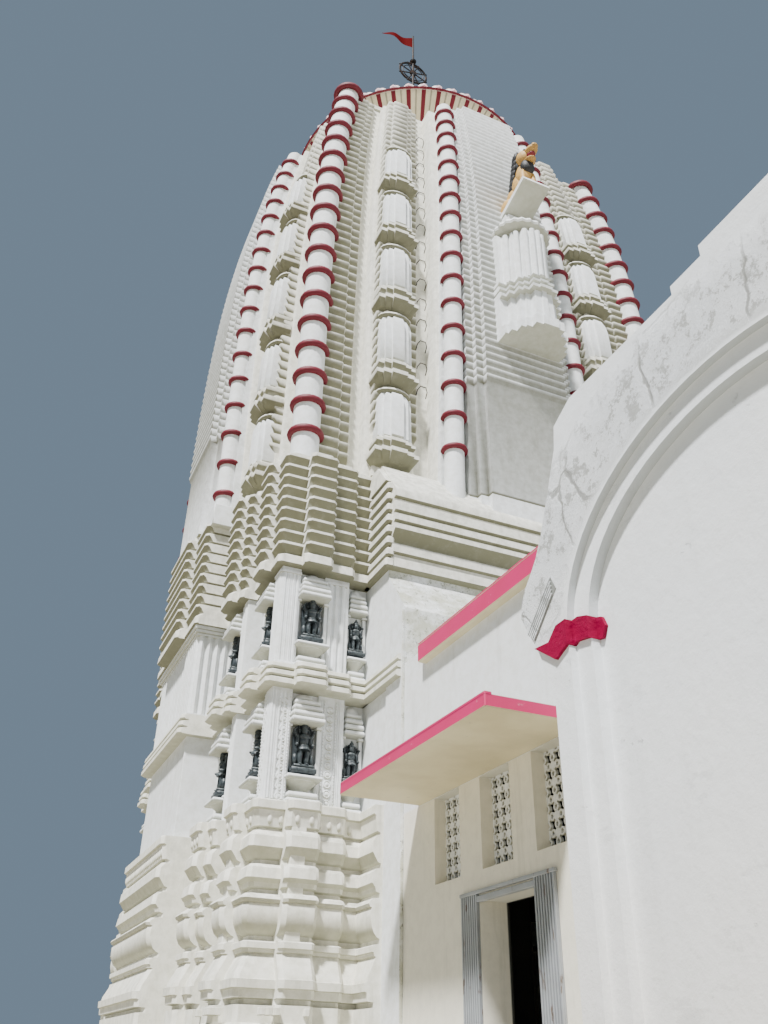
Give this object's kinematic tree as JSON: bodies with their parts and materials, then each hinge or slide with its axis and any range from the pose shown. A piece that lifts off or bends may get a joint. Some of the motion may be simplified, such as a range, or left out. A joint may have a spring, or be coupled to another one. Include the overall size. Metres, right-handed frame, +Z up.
{
  "type": "hindu temple",
  "caption": "Whitewashed temple: a curved ribbed tower with a disc crown and flag, a vestibule, a low passage with doors and pierced windows, and a front hall with blind arches.",
  "frame": {"origin": "on the ground under the centre of the tower, at the underside of the floor slab", "axes": "+Z up, the front hall lies towards -Y, +X to the right seen from the front"},
  "size_m": [11.14, 26.235, 34.2],
  "materials": {
    "white_plaster": "limewashed plaster over masonry, matt",
    "aged_plaster": "weathered limewash on mouldings, matt",
    "cream_plaster": "cream limewash, matt",
    "rib_plaster": "painted plaster, pink and cream with crimson stripes",
    "pink_edged_slab": "painted concrete, pink edge and cream underside",
    "stone_floor": "worn stone flags",
    "lion_plaster": "painted plaster, yellow with a black mane",
    "grey_gate_paint": "grey paint on steel channels",
    "dark_iron": "dark weathered iron",
    "red_cloth": "red cotton cloth",
    "crimson_paint": "crimson paint on plaster rings",
    "black_stone": "black stone figures in the niches"
  },
  "bodies": {
    "root": {"tower_lower_wall": "white_plaster", "tower_upper_wall": "white_plaster", "vestibule_body": "white_plaster", "corner_column_front_right": "white_plaster", "corner_column_back_right": "white_plaster", "corner_column_back_left": "white_plaster", "corner_column_front_left": "white_plaster", "middle_panel_front": "white_plaster", "middle_panel_right": "white_plaster", "middle_panel_back": "white_plaster", "middle_panel_left": "white_plaster", "corbelled_block": "white_plaster", "left_wall_beside_tower": "white_plaster", "right_wall_beside_tower": "white_plaster", "left_wall_beside_hall": "white_plaster", "right_wall_beside_hall": "white_plaster", "left_window_wall": "white_plaster", "right_window_wall": "white_plaster", "left_door_steps": "white_plaster", "right_door_steps": "white_plaster", "left_hall_wall": "white_plaster", "right_hall_wall": "white_plaster", "hall_front_wall": "white_plaster", "hall_roof": "white_plaster", "tower_base_mouldings": "aged_plaster", "tower_band_moulding": "aged_plaster", "tower_cornice": "aged_plaster", "vestibule_cornice": "aged_plaster", "spire_core": "aged_plaster", "spire_top_slab": "aged_plaster", "neck": "cream_plaster", "crown_cap": "cream_plaster", "finial_pot": "cream_plaster", "amalaka_disc": "rib_plaster", "lion": "lion_plaster", "wheel_and_pole": "dark_iron", "flag": "red_cloth", "floor_slab": "stone_floor", "passage_roof": "pink_edged_slab", "left_canopy": "pink_edged_slab", "right_canopy": "pink_edged_slab", "left_folded_gate_far": "grey_gate_paint", "left_folded_gate_near": "grey_gate_paint", "right_folded_gate_far": "grey_gate_paint", "right_folded_gate_near": "grey_gate_paint"}
  },
  "joints": []
}
